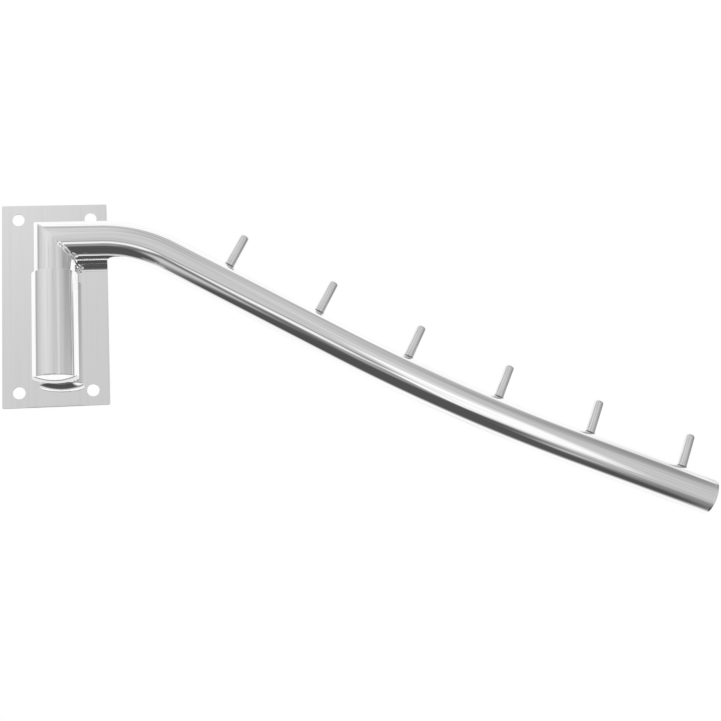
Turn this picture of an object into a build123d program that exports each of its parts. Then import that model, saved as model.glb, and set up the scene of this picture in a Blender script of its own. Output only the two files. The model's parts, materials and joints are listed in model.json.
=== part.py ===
from build123d import *
from math import radians, sqrt
import os

# Swinging garment arm on a wall plate. Millimetres and degrees.
# +Z is up, the wall is at Y = 0 and the front faces -Y. The origin is the middle of the plate's back face.
# At rest the arm lies along the wall, towards +X.

# Wall plate
plate_width = 51.0
plate_height = 102.0
plate_thickness = 3.0
plate_corner_radius = 0.8
plate_edge_chamfer = 0.25
hole_diameter = 5.8
hole_side_inset = 8.0       # from the plate's upright edges to the holes' middles
hole_end_inset = 7.5        # from its upper and lower edges

# Tubes of the spindle and the arm
tube_diameter = 19.0
tube_wall = 1.2

# Clearances on the radius
running_clearance = 0.1     # what turns in the sleeve
seat_clearance = 0.02       # what is pressed in place
weld_clearance = 0.1        # between the arm and what is welded on it

# Pivot sleeve, upright against the plate's front
sleeve_wall = 1.2
sleeve_length = 51.0
sleeve_foot = 12.6          # from the plate's lower edge up to the sleeve
sleeve_side_offset = 1.3    # right of the plate's middle
sleeve_rim_chamfer = 0.35
sleeve_weld_width = 5.2     # from the line where the sleeve touches the plate
sleeve_weld_toe = 0.9       # how much further the bead reaches on the plate
sleeve_weld_gap = 1.2       # unfilled root beside that line
sleeve_weld_setback = 3.0   # at each end of the sleeve

# Crowned plugs that close the sleeve below and the arm at its end
cap_bevel = 3.6             # width of the slope round the crown's flat middle
sleeve_cap_rim = 0.4
sleeve_cap_crown = 1.4
sleeve_cap_spigot = 3.0
arm_cap_rim = 1.4
arm_cap_crown = 0.9
arm_cap_spigot = 5.0

# Washer that the spindle turns on
washer_thickness = 2.0

# Arm
arm_rise = 16.3             # from the sleeve's top up to its level axis
level_run = 23.3            # from the pivot axis to the bend
bend_radius = 63.0
bend_angle = 29.9
slope_run = 95.0
curve_radius = 1005.0
curve_angle = 7.2
end_run = 16.6              # from the last peg to the tube's end

# Pegs
peg_count = 6
peg_diameter = 4.8
peg_height = 17.5           # above the tube's top
peg_tip_chamfer = 0.9
first_peg_distance = 84.8   # along the arm from the pivot axis
peg_spacing = 50.0
peg_weld_width = 0.6        # along the arm's top
peg_weld_height = 0.7

# Sizes that follow from those above
tube_radius = tube_diameter / 2
tube_bore = tube_radius - tube_wall
sleeve_bore = tube_radius + running_clearance
sleeve_radius = sleeve_bore + sleeve_wall
hole_spacing_across = plate_width - 2 * hole_side_inset
hole_spacing_up = plate_height - 2 * hole_end_inset
sleeve_bottom = sleeve_foot - plate_height / 2
sleeve_top = sleeve_bottom + sleeve_length
plate_front = -plate_thickness
pivot_x = sleeve_side_offset
pivot_y = plate_front - sleeve_radius
washer_bottom = sleeve_bottom + sleeve_cap_spigot
spindle_bottom = washer_bottom + washer_thickness
arm_height = sleeve_top + arm_rise
peg_radius = peg_diameter / 2
arm_length = first_peg_distance + (peg_count - 1) * peg_spacing + end_run
elbow = Plane((pivot_x, pivot_y, arm_height), x_dir=(1, 0, 0), z_dir=(0, -1, 0))
mitre = Plane(elbow.origin, x_dir=(0, 1, 0), z_dir=(1, 0, 1))


def rod(radius, bottom, top):
    """Upright round bar between two heights."""
    stand = (Align.CENTER, Align.CENTER, Align.MIN)
    return Pos(0, 0, bottom) * Cylinder(radius, top - bottom, align=stand)


def at_pivot(shape):
    """Moves a shape built about the Z axis to the pivot axis."""
    return Pos(pivot_x, pivot_y, 0) * shape


def drop(radius, offset):
    """How far a round surface falls away at a sideways offset from its crown."""
    return radius - sqrt(radius**2 - offset**2)


def turned(*corners):
    """Solid of revolution about the Z axis; each corner gives a radius and a height."""
    return revolve(Plane.XZ * make_face(Polyline(*corners, close=True)), Axis.Z)


def wall_plate():
    """Flat plate with rounded corners, a chamfered front edge and four screw holes."""
    plate = Pos(0, plate_front / 2, 0) * Box(plate_width, plate_thickness, plate_height)
    plate = fillet(plate.edges().filter_by(Axis.Y), plate_corner_radius)
    plate = chamfer(plate.faces().sort_by(Axis.Y)[0].edges(), plate_edge_chamfer)
    hole = Rot(X=90) * Cylinder(hole_diameter / 2, 3 * plate_thickness)
    for across in (-1, 1):
        for up in (-1, 1):
            plate -= Pos(across * hole_spacing_across / 2, 0, up * hole_spacing_up / 2) * hole
    return plate


def pivot_sleeve():
    """Open tube with a chamfered upper rim."""
    sleeve = rod(sleeve_radius, sleeve_bottom, sleeve_top) - rod(sleeve_bore, sleeve_bottom, sleeve_top)
    return at_pivot(chamfer(sleeve.faces().sort_by(Axis.Z)[-1].edges(), sleeve_rim_chamfer))


def sleeve_weld(side):
    """Bead that fills the wedge between sleeve and plate on one side (-1 left, 1 right)."""
    root = (sleeve_weld_gap, -drop(sleeve_radius, sleeve_weld_gap))
    edge = (sleeve_weld_width, -drop(sleeve_radius, sleeve_weld_width))
    toe = (sleeve_weld_width + sleeve_weld_toe, 0)
    outline = [
        Line((sleeve_weld_gap, 0), toe),
        RadiusArc(toe, edge, -2 * sleeve_radius),
        RadiusArc(edge, root, -sleeve_radius),
        Line(root, (sleeve_weld_gap, 0)),
    ]
    bead = extrude(make_face(outline), sleeve_length - 2 * sleeve_weld_setback)
    if side < 0:
        bead = mirror(bead, about=Plane.YZ)
    return Pos(pivot_x, plate_front, sleeve_bottom + sleeve_weld_setback) * bead


def crowned_plug(outer, bore, rim, crown, spigot):
    """Plug with its spigot in the tube below Z = 0, its rim on the tube's end and a crown above."""
    spigot_radius = bore - seat_clearance
    return turned(
        (0, rim + crown), (0, -spigot), (spigot_radius, -spigot), (spigot_radius, 0), (outer, 0),
        (outer, rim), (outer - cap_bevel, rim + crown),
    )


def sleeve_bottom_cap():
    """Low crowned plug that closes the sleeve below."""
    cap = crowned_plug(sleeve_radius, sleeve_bore, sleeve_cap_rim, sleeve_cap_crown, sleeve_cap_spigot)
    return at_pivot(Pos(0, 0, sleeve_bottom) * Rot(X=180) * cap)


def thrust_washer():
    """Flat plastic disc on the plug's spigot."""
    return at_pivot(rod(sleeve_bore - running_clearance, washer_bottom, spindle_bottom))


def spindle_tube():
    """Upright tube from the washer to the mitred elbow."""
    top = arm_height + 2 * tube_radius
    tube = rod(tube_radius, spindle_bottom, top) - rod(tube_bore, spindle_bottom, top)
    return split(at_pivot(tube), bisect_by=mitre, keep=Keep.BOTTOM)


def arm_path(behind):
    """Axis of the arm, starting a given distance behind the pivot axis."""
    tail = arm_length - level_run - slope_run - radians(bend_angle) * bend_radius
    tail -= radians(curve_angle) * curve_radius
    level = Line((-behind, 0), (level_run, 0))
    bend = JernArc(level @ 1, level % 1, bend_radius, -bend_angle)
    slope = Line(bend @ 1, bend @ 1 + bend % 1 * slope_run)
    curve = JernArc(slope @ 1, slope % 1, curve_radius, curve_angle)
    end = Line(curve @ 1, curve @ 1 + curve % 1 * tail)
    return elbow * Wire([level, bend, slope, curve, end])


def arm_bar(radius):
    """Solid round bar along the whole arm, reaching past the elbow."""
    path = arm_path(2 * tube_radius)
    section = Plane(path @ 0, z_dir=path % 0) * Circle(radius)
    return sweep(section, path=path)


def station(distance):
    """Plane across the arm at a distance from the pivot axis: Z square to the arm and up, X along it."""
    path = arm_path(0)
    along = path.tangent_at(distance, position_mode=PositionMode.LENGTH)
    place = path.position_at(distance, position_mode=PositionMode.LENGTH)
    return Plane(place, x_dir=along, z_dir=along.cross(Vector(0, 1, 0)))


def peg_station(number):
    """Plane of one peg, counted from the elbow."""
    return station(first_peg_distance + (number - 1) * peg_spacing)


def arm_tube():
    """Bent tube, mitred at the elbow."""
    return split(arm_bar(tube_radius) - arm_bar(tube_bore), bisect_by=mitre, keep=Keep.TOP)


def seated(number, shape):
    """Sets a shape built about the Z axis on the arm at a peg, hollowed below to the round of the tube."""
    saddle = Rot(Y=90) * Cylinder(tube_radius + weld_clearance, 4 * peg_diameter)
    return peg_station(number) * (shape - saddle)


def peg(number):
    """Round rod with a chamfered tip, welded upright on the arm."""
    tip = tube_radius + peg_height
    shank = rod(peg_radius, tube_radius - peg_radius, tip)
    return seated(number, chamfer(shank.edges().sort_by(Axis.Z)[-1], peg_tip_chamfer))


def peg_weld(number):
    """Conical weld collar round a peg's foot."""
    base = tube_radius - peg_radius
    top = tube_radius + peg_weld_height
    spread = peg_weld_width / peg_weld_height * (top - base)
    return seated(number, turned((peg_radius, top), (peg_radius + spread, base), (peg_radius, base)))


def arm_end_cap():
    """Thin crowned plug in the arm's end."""
    end = station(arm_length)
    cap = crowned_plug(tube_radius, tube_bore, arm_cap_rim, arm_cap_crown, arm_cap_spigot)
    return Plane(end.origin, x_dir=end.z_dir, z_dir=end.x_dir) * cap


def nodes():
    """Every piece by its name."""
    pieces = {
        "wall_plate": wall_plate(),
        "pivot_sleeve": pivot_sleeve(),
        "sleeve_weld_left": sleeve_weld(-1),
        "sleeve_weld_right": sleeve_weld(1),
        "sleeve_bottom_cap": sleeve_bottom_cap(),
        "thrust_washer": thrust_washer(),
        "spindle_tube": spindle_tube(),
        "arm_tube": arm_tube(),
        "arm_end_cap": arm_end_cap(),
    }
    for number in range(1, peg_count + 1):
        pieces[f"peg_{number}"] = peg(number)
        pieces[f"peg_weld_{number}"] = peg_weld(number)
    return pieces


os.makedirs("parts", exist_ok=True)
for name, shape in nodes().items():
    export_step(shape, f"parts/{name}.step")
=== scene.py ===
"""Swinging garment arm on a wall plate: polished surfaces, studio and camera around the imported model.

Sizes are in millimetres and angles in degrees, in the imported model's frame: +Z is up and the wall is at +Y.
"""

import json
import logging
from collections.abc import Callable
from dataclasses import dataclass
from enum import Enum
from typing import NamedTuple

import bmesh
import bpy
import numpy as np
from mathutils import Matrix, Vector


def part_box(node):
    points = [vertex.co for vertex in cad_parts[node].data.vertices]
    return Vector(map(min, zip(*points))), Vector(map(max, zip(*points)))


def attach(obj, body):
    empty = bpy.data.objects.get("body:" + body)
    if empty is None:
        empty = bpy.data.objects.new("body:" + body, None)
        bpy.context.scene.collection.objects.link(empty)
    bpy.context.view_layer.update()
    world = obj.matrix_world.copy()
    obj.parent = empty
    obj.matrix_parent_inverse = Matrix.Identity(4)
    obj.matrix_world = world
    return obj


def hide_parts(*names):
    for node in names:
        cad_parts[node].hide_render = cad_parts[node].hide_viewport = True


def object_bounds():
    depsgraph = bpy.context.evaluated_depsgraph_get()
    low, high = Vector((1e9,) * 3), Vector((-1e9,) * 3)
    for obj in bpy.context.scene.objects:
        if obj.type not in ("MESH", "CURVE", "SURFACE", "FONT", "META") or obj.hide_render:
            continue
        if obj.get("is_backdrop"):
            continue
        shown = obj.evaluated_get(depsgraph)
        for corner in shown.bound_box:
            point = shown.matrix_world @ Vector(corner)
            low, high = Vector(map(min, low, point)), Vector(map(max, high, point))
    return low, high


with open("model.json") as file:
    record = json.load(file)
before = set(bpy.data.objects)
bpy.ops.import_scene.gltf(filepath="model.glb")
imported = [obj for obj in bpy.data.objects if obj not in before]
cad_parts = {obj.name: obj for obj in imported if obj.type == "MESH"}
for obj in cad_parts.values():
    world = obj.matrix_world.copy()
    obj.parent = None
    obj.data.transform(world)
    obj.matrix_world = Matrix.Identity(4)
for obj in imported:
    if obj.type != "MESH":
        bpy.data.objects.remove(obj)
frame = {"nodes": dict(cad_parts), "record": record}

Array = np.ndarray
Tree = bpy.types.NodeTree
Node = bpy.types.Node

MM = 0.001                  # metres in a millimetre
AROUND = 192                # facets round a tube
MERGE = 1e-7                # metres within which points are one
CREASE = 32.0               # edges sharper than this many degrees stay crisp
SEAM = 0.14                 # rounding where two pieces meet end to end, which shows as a fine line
SEAT = 0.02                 # clearance of a plug in its tube
UV_NAME = "surface"         # millimetres along and across each surface
QUARTERS = np.array([[1, 1], [-1, 1], [-1, -1], [1, -1]])       # of the plate, as signs across and up
LOG = logging.getLogger("garment_arm")


class Body(Enum):
    """Bodies that pieces ride on."""

    BRACKET = "bracket"
    SWIVEL = "swivel"
    ARM = "arm"


class Slot(Enum):
    """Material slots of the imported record."""

    PLATE = "plate"
    TUBE = "tube"
    PEG = "peg"
    WELD = "weld"
    NYLON = "nylon"


def linear(colour: str) -> tuple[float, float, float, float]:
    """Turns a colour into the numbers that shaders work with.

    Args:
        colour: sRGB hex value such as '#c0c0c0'.

    Returns:
        Linear red, green and blue, and full alpha.
    """
    parts = np.array([int(colour[i:i + 2], 16) for i in (1, 3, 5)]) / 255
    value = np.where(parts <= 0.04045, parts / 12.92, ((parts + 0.055) / 1.055) ** 2.4)
    return (*value.tolist(), 1.0)


def feed(tree: Tree, node: Node, inputs: dict) -> None:
    """Sets and links a node's inputs.

    Args:
        tree: the node tree.
        node: the node in it.
        inputs: socket name or number to a value, an output socket, or a node whose first output in use
            feeds it.
    """
    for key, value in inputs.items():
        if isinstance(value, Node):
            value = next(socket for socket in value.outputs if socket.enabled)
        if isinstance(value, bpy.types.NodeSocket):
            tree.links.new(value, node.inputs[key])
        else:
            node.inputs[key].default_value = value


def add_node(tree: Tree, kind: str, inputs: dict | None = None, **settings: object) -> Node:
    """Adds a node with its settings and links.

    Args:
        tree: the node tree that gets it.
        kind: the node's type.
        inputs: its inputs, as feed takes them.
        settings: the node's own properties.

    Returns:
        The new node.
    """
    node = tree.nodes.new(kind)
    for key, value in settings.items():
        setattr(node, key, value)
    feed(tree, node, inputs or {})
    return node


def new_material(name: str) -> tuple[bpy.types.Material, Tree, Node]:
    """Makes a node material.

    Args:
        name: its name.

    Returns:
        The material, its node tree and its surface shader.
    """
    material = bpy.data.materials.new(name)
    material.use_nodes = True
    return material, material.node_tree, material.node_tree.nodes["Principled BSDF"]


class Pattern(NamedTuple):
    """Cloudy noise that lies on a surface: the size of a cloud along the surface and across it."""

    along: float
    across: float
    detail: float       # how many finer layers it has

    def on(self, tree: Tree) -> Node:
        """Adds the noise to a material.

        Args:
            tree: the material's node tree.

        Returns:
            The noise, with values about 0.5.
        """
        spread = add_node(tree, "ShaderNodeUVMap", uv_map=UV_NAME)
        scale = (1 / self.along, 1 / self.across, 1.0)
        scaled = add_node(tree, "ShaderNodeMapping", {"Vector": spread, "Scale": scale})
        return add_node(tree, "ShaderNodeTexNoise", {"Vector": scaled, "Scale": 1.0, "Detail": self.detail})


@dataclass(frozen=True)
class PlatedBack:
    """Wall side of the plate, plated but not polished: the eye sees satin grey with soft stains."""

    tones: tuple[str, str] = ("#84837f", "#a2a19e")
    stains: Pattern = Pattern(18.0, 18.0, 4.0)
    roughness: tuple[float, float] = (0.28, 0.48)
    grain: Pattern = Pattern(1.2, 1.2, 4.0)
    skin: tuple[float, float] = (-0.4, -0.05)       # depths between which the polish gives way to it

    def behind(self, tree: Tree, colour: Node, rough: Node) -> tuple[Node, Node]:
        """Puts the dull side behind the polished one.

        Args:
            tree: the material's node tree.
            colour: the polished side's colour.
            rough: its roughness.

        Returns:
            Both as they are with the dull side.
        """
        place = add_node(tree, "ShaderNodeTexCoord").outputs["Object"]
        depth = add_node(tree, "ShaderNodeSeparateXYZ", {"Vector": place}).outputs["Y"]
        side = add_node(tree, "ShaderNodeMapRange", {
            "Value": depth, "From Min": self.skin[0] * MM, "From Max": self.skin[1] * MM})
        stained = add_node(tree, "ShaderNodeMix", {
            "Factor": self.stains.on(tree), "A": linear(self.tones[0]), "B": linear(self.tones[1])},
            data_type="RGBA")
        dull = add_node(tree, "ShaderNodeMapRange", {
            "Value": self.grain.on(tree), "To Min": self.roughness[0], "To Max": self.roughness[1]})
        toned = add_node(tree, "ShaderNodeMix", {"Factor": side, "A": colour, "B": stained}, data_type="RGBA")
        return toned, add_node(tree, "ShaderNodeMix", {"Factor": side, "A": rough, "B": dull})


@dataclass(frozen=True)
class PolishedChrome:
    """Bright chrome over polished steel.

    A near mirror: the eye sees the studio in it, softened a little by buffing haze in clouds and crossed by
    faint darker lines that the polishing belt leaves along the metal.
    """

    name: str
    tones: tuple[str, str] = ("#fefefe", "#e2e2e2")     # of the metal and of its lines
    roughness: tuple[float, float] = (0.025, 0.06)      # of the clearest places and of the haziest
    haze: Pattern = Pattern(16.0, 16.0, 3.0)
    lines: Pattern = Pattern(90.0, 0.6, 2.0)    # real lines are finer; drawn as coarse as they need to show
    line_depth: float = 0.014
    haze_noise: tuple[float, float] = (0.3, 0.7)        # noise where the metal is clearest, and haziest
    line_noise: tuple[float, float] = (0.5, 0.74)       # noise where a line begins to show, and is full
    mitre: tuple[float, float, float] | None = None     # point on a mitre that is buffed clear of lines
    mitre_reach: float = 9.0                            # how far along a tube the lines take to come back
    back: PlatedBack | None = None

    def material(self) -> bpy.types.Material:
        """Builds the node material.

        Returns:
            The material.
        """
        material, tree, shader = new_material(self.name)
        lines = self.lines.on(tree)
        left = self.lines_left(tree) if self.mitre else 1.0
        drawn = add_node(tree, "ShaderNodeMapRange", {
            "Value": lines, "From Min": self.line_noise[0], "From Max": self.line_noise[1], "To Max": left})
        colour = add_node(tree, "ShaderNodeMix", {
            "Factor": drawn, "A": linear(self.tones[0]), "B": linear(self.tones[1])}, data_type="RGBA")
        rough = add_node(tree, "ShaderNodeMapRange", {
            "Value": self.haze.on(tree), "From Min": self.haze_noise[0], "From Max": self.haze_noise[1],
            "To Min": self.roughness[0], "To Max": self.roughness[1]})
        if self.back:
            colour, rough = self.back.behind(tree, colour, rough)
        bump = add_node(tree, "ShaderNodeBump", {
            "Height": lines, "Strength": left, "Distance": self.line_depth * MM})
        feed(tree, shader, {"Base Color": colour, "Roughness": rough, "Normal": bump, "Metallic": 1.0})
        return material

    def lines_left(self, tree: Tree) -> Node:
        """Fades the lines out near the mitre, whose plane is square to X plus Z.

        Args:
            tree: the material's node tree.

        Returns:
            Share of the lines: none on the mitre, all of them from its reach on.
        """
        place = add_node(tree, "ShaderNodeTexCoord").outputs["Object"]
        middle = tuple(value * MM for value in self.mitre)
        offset = add_node(tree, "ShaderNodeVectorMath", {0: place, 1: middle}, operation="SUBTRACT")
        square = (1.0, 0.0, 1.0)
        side = add_node(tree, "ShaderNodeVectorMath", {0: offset, 1: square}, operation="DOT_PRODUCT")
        away = add_node(tree, "ShaderNodeMath", {0: side}, operation="ABSOLUTE")
        return add_node(tree, "ShaderNodeMapRange", {"Value": away, "From Max": self.mitre_reach * MM},
                        interpolation_type="SMOOTHSTEP")


@dataclass(frozen=True)
class GrainedFinish:
    """What the plainer finishes share: two tones in clouds, and a grain in both gloss and relief."""

    name: str
    tones: tuple[str, str]
    clouds: Pattern
    grain: Pattern
    roughness: tuple[float, float]
    depth: float
    made_of: tuple[str, float]      # socket of the shader that tells the kind of material, and its value

    def material(self) -> bpy.types.Material:
        """Builds the node material.

        Returns:
            The material.
        """
        material, tree, shader = new_material(self.name)
        colour = add_node(tree, "ShaderNodeMix", {
            "Factor": self.clouds.on(tree), "A": linear(self.tones[0]), "B": linear(self.tones[1])},
            data_type="RGBA")
        grain = self.grain.on(tree)
        rough = add_node(tree, "ShaderNodeMapRange", {
            "Value": grain, "To Min": self.roughness[0], "To Max": self.roughness[1]})
        bump = add_node(tree, "ShaderNodeBump", {
            "Height": grain, "Strength": 1.0, "Distance": self.depth * MM})
        kind, value = self.made_of
        feed(tree, shader, {"Base Color": colour, "Roughness": rough, "Normal": bump, kind: value})
        return material


@dataclass(frozen=True)
class PlatedWeld(GrainedFinish):
    """Weld metal under the same plating: satin and grainy, in two tones by small clouds."""

    name: str = "plated weld metal"
    tones: tuple[str, str] = ("#c9c8c6", "#8f8d8b")
    clouds: Pattern = Pattern(2.0, 2.0, 2.0)
    grain: Pattern = Pattern(0.5, 0.5, 4.0)
    roughness: tuple[float, float] = (0.1, 0.38)
    depth: float = 0.02
    made_of: tuple[str, float] = ("Metallic", 1.0)


@dataclass(frozen=True)
class MouldedNylon(GrainedFinish):
    """Natural nylon from a mould: creamy, slightly mottled, with a soft waxy gloss, rubbed by turning."""

    name: str = "natural moulded nylon"
    tones: tuple[str, str] = ("#e6e1d3", "#d8d1bf")
    clouds: Pattern = Pattern(3.0, 3.0, 4.0)
    grain: Pattern = Pattern(1.2, 18.0, 2.0)
    roughness: tuple[float, float] = (0.32, 0.52)
    depth: float = 0.02
    made_of: tuple[str, float] = ("IOR", 1.53)


def ease(value: Array, start: float, end: float) -> Array:
    """Runs from 0 at start to 1 at end, eased at both: 3 t squared minus 2 t cubed."""
    share = np.clip((value - start) / (end - start), 0, 1)
    return share**2 * (3 - 2 * share)


def step(value: Array, edge: Array | float, width: Array | float) -> Array:
    """Eased step from 0 to 1 across an edge of some width."""
    return ease(value, edge - width / 2, edge + width / 2)


def full_turn(count: int = AROUND) -> Array:
    """Even angles once round, in radians, without the last."""
    return np.arange(count) * (2 * np.pi / count)


def gathered(*parts: Array | float) -> Array:
    """Points from their coordinates, each an array or a number, all stretched to one shape."""
    return np.stack(np.broadcast_arrays(*parts), -1)


class Patch(NamedTuple):
    """Part of a surface, in millimetres."""

    points: Array
    faces: Array        # four point numbers each
    spread: Array       # map of each face corner
    smooth: bool        # whether it is shaded as a curve


def grid_patch(points: Array, wrap_rows: bool = False, wrap_columns: bool = False,
               smooth: bool = True) -> Patch:
    """Joins a grid of points into four-sided faces.

    Face (i, j) takes points (i, j), (i + 1, j), (i + 1, j + 1) and (i, j + 1); its map is the mean distance
    walked along the rows and along the columns.

    Args:
        points: array of rows by columns by 3.
        wrap_rows: whether the last row joins the first.
        wrap_columns: whether the last column joins the first.
        smooth: whether the patch is shaded as a curve.

    Returns:
        The patch.
    """
    rows, columns = points.shape[:2]
    i = np.arange(rows - (not wrap_rows))[:, None]
    j = np.arange(columns - (not wrap_columns))[None, :]
    walked = []
    for axis in (0, 1):
        steps = np.linalg.norm(np.roll(points, -1, axis) - points, axis=2).mean(axis=1 - axis)
        walked.append(np.concatenate([[0.0], np.cumsum(steps)]))
    faces, spread = [], []
    for di, dj in ((0, 0), (1, 0), (1, 1), (0, 1)):
        faces.append(((i + di) % rows) * columns + (j + dj) % columns)
        spread.append(gathered(walked[0][i + di], walked[1][j + dj]))
    return Patch(points.reshape(-1, 3), np.stack(faces, -1).reshape(-1, 4),
                 np.stack(spread, 2).reshape(-1, 4, 2), smooth)


def make_mesh(name: str, patches: list[Patch]) -> bpy.types.Mesh:
    """Puts patches into one mesh, with shared edges merged and faces outward.

    Args:
        name: the mesh's name.
        patches: its surface.

    Returns:
        The mesh, with its map and its crisp edges.
    """
    starts = np.cumsum([0] + [len(patch.points) for patch in patches])
    points = np.concatenate([patch.points for patch in patches])
    faces = np.concatenate([patch.faces + start for patch, start in zip(patches, starts)])
    spread = np.concatenate([patch.spread for patch in patches])
    mesh = bpy.data.meshes.new(name)
    mesh.vertices.add(len(points))
    mesh.vertices.foreach_set("co", (points * MM).astype(np.float32).ravel())
    mesh.loops.add(faces.size)
    mesh.loops.foreach_set("vertex_index", faces.astype(np.int32).ravel())
    mesh.polygons.add(len(faces))
    mesh.polygons.foreach_set("loop_start", np.arange(0, faces.size, 4, dtype=np.int32))
    mesh.update(calc_edges=True)
    mesh.polygons.foreach_set("use_smooth", np.concatenate(
        [np.full(len(patch.faces), patch.smooth) for patch in patches]))
    mesh.uv_layers.new(name=UV_NAME).data.foreach_set("uv", spread.astype(np.float32).ravel())
    shape = bmesh.new()
    shape.from_mesh(mesh)
    bmesh.ops.remove_doubles(shape, verts=shape.verts, dist=MERGE)
    bmesh.ops.recalc_face_normals(shape, faces=shape.faces)
    shape.to_mesh(mesh)
    shape.free()
    smooth = np.empty(len(mesh.polygons), bool)
    mesh.polygons.foreach_get("use_smooth", smooth)
    mesh.set_sharp_from_angle(angle=np.radians(CREASE))
    mesh.polygons.foreach_set("use_smooth", smooth)     # marking the edges has made every face smooth
    return mesh


def add_object(name: str, data: bpy.types.ID) -> bpy.types.Object:
    """Makes an object of a mesh, lamp or camera.

    Args:
        name: the object's name.
        data: what it shows.

    Returns:
        The object, in the scene.
    """
    thing = bpy.data.objects.new(name, data)
    bpy.context.scene.collection.objects.link(thing)
    return thing


def add_piece(node: str, patches: list[Patch], material: bpy.types.Material, body: Body,
              slot: Slot) -> bpy.types.Object:
    """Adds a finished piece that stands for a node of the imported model.

    Args:
        node: the node that it replaces; the piece is named for it.
        patches: its surface.
        material: its finish.
        body: what it rides on.
        slot: the record's slot of its finish.

    Returns:
        The piece.
    """
    name = node + ("_polished" if slot in (Slot.PLATE, Slot.TUBE, Slot.PEG) else "_formed")
    piece = add_object(name, make_mesh(name, patches))
    piece.data.materials.append(material)
    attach(piece, body.value)
    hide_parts(node)
    LOG.info("%s: %d faces on %s", name, len(piece.data.polygons), body.value)
    return piece


def softened(corners: list[tuple[float, float, float]], closed: bool, steps: int = 6,
             guard: float = 0.12) -> Array:
    """Polyline with round corners.

    At each corner with a radius, an arc touches both sides: its points are the centre plus a blend of the two
    touching radii by sines of the angle. A guard point beside each end keeps the flats flat to the eye.

    Args:
        corners: first coordinate, second coordinate and radius of each corner.
        closed: whether the last corner joins the first.
        steps: facets of an arc.
        guard: distance of the guard points.

    Returns:
        Array of points by 2.
    """
    spots = np.array([corner[:2] for corner in corners])
    share = np.linspace(0, 1, steps + 1)[:, None]
    line = []
    for k, (here, (_, _, radius)) in enumerate(zip(spots, corners)):
        if radius == 0 or (not closed and k in (0, len(corners) - 1)):
            line.append(here[None])
            continue
        back, on = spots[k - 1] - here, spots[(k + 1) % len(spots)] - here
        back, on = back / np.linalg.norm(back), on / np.linalg.norm(on)
        half = np.arccos(np.clip(back @ on, -1, 1)) / 2
        reach = radius / np.tan(half)
        centre = here + (back + on) / np.linalg.norm(back + on) * radius / np.sin(half)
        first, last = here + back * reach - centre, here + on * reach - centre
        sweep = np.pi - 2 * half
        arc = centre + (np.sin((1 - share) * sweep) * first + np.sin(share * sweep) * last) / np.sin(sweep)
        line.append(np.concatenate([[arc[0] + back * guard], arc, [arc[-1] + on * guard]]))
    return np.concatenate(line)


def turned(rings: Array, count: int = AROUND) -> Array:
    """Turns a profile once round the Z axis: (r cos a, r sin a, h) on a grid.

    Args:
        rings: radius and height of each ring, or of each ring at each angle.
        count: how many angles.

    Returns:
        Array of rings by angles by 3.
    """
    angle = full_turn(count)
    radius, height = np.moveaxis(rings if rings.ndim == 3 else rings[:, None], -1, 0)
    return gathered(radius * np.cos(angle), radius * np.sin(angle), height)


@dataclass(frozen=True)
class Place:
    """Where a shape's own axes lie in the model; the rows of axes are its X, Y and Z."""

    origin: Array
    axes: Array

    def put(self, points: Array) -> Array:
        """Moves points from the shape's own axes into the model."""
        return points @ self.axes + self.origin

    def stand(self, thing: bpy.types.Object) -> None:
        """Stands a camera or lamp there.

        Args:
            thing: the camera or lamp, which looks along the place's -Z.
        """
        pose = np.eye(4)
        pose[:3, :3], pose[:3, 3] = self.axes.T, self.origin * MM
        thing.matrix_world = Matrix(pose.tolist())


def node_box(node: str) -> tuple[Array, Array]:
    """Lowest and highest corner of a node, in millimetres."""
    low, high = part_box(node)
    return np.array(low) / MM, np.array(high) / MM


@dataclass(frozen=True)
class CrownedPlug:
    """Plug that closes a tube: a spigot inside, a rim on the tube's end, a slope and a round crown."""

    radius: float
    bore: float
    rim: float
    spigot: float
    slope: float                 # in degrees
    slope_width: float
    edge: float = 0.28           # rounding where the rim meets the slope
    spigot_edge: float = 0.3
    crown_rings: int = 24

    def patch(self, place: Place) -> Patch:
        """Builds the plug with its crown towards the place's Z.

        The crown is the part of a ball that meets the slope without a kink: ball radius = crown radius over
        the slope's sine. Its profile, the slope's and the rim's are turned once round.

        Args:
            place: the tube's end, with Z out of the tube.

        Returns:
            The closed surface.
        """
        slope, crown, inner = np.radians(self.slope), self.radius - self.slope_width, self.bore - SEAT
        ball = crown / np.sin(slope)
        shoulder = self.rim + self.slope_width * np.tan(slope)
        spread = np.linspace(0, crown, self.crown_rings)
        dome = gathered(spread, shoulder + np.sqrt(ball**2 - spread**2) - ball * np.cos(slope))
        rest = softened([
            (*dome[-1], 0), (self.radius, self.rim, self.edge), (self.radius, 0, SEAM), (inner, 0, 0),
            (inner, -self.spigot, self.spigot_edge), (0, -self.spigot, 0)], closed=False)
        return grid_patch(place.put(turned(np.concatenate([dome, rest[1:]]))), wrap_columns=True)


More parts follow.
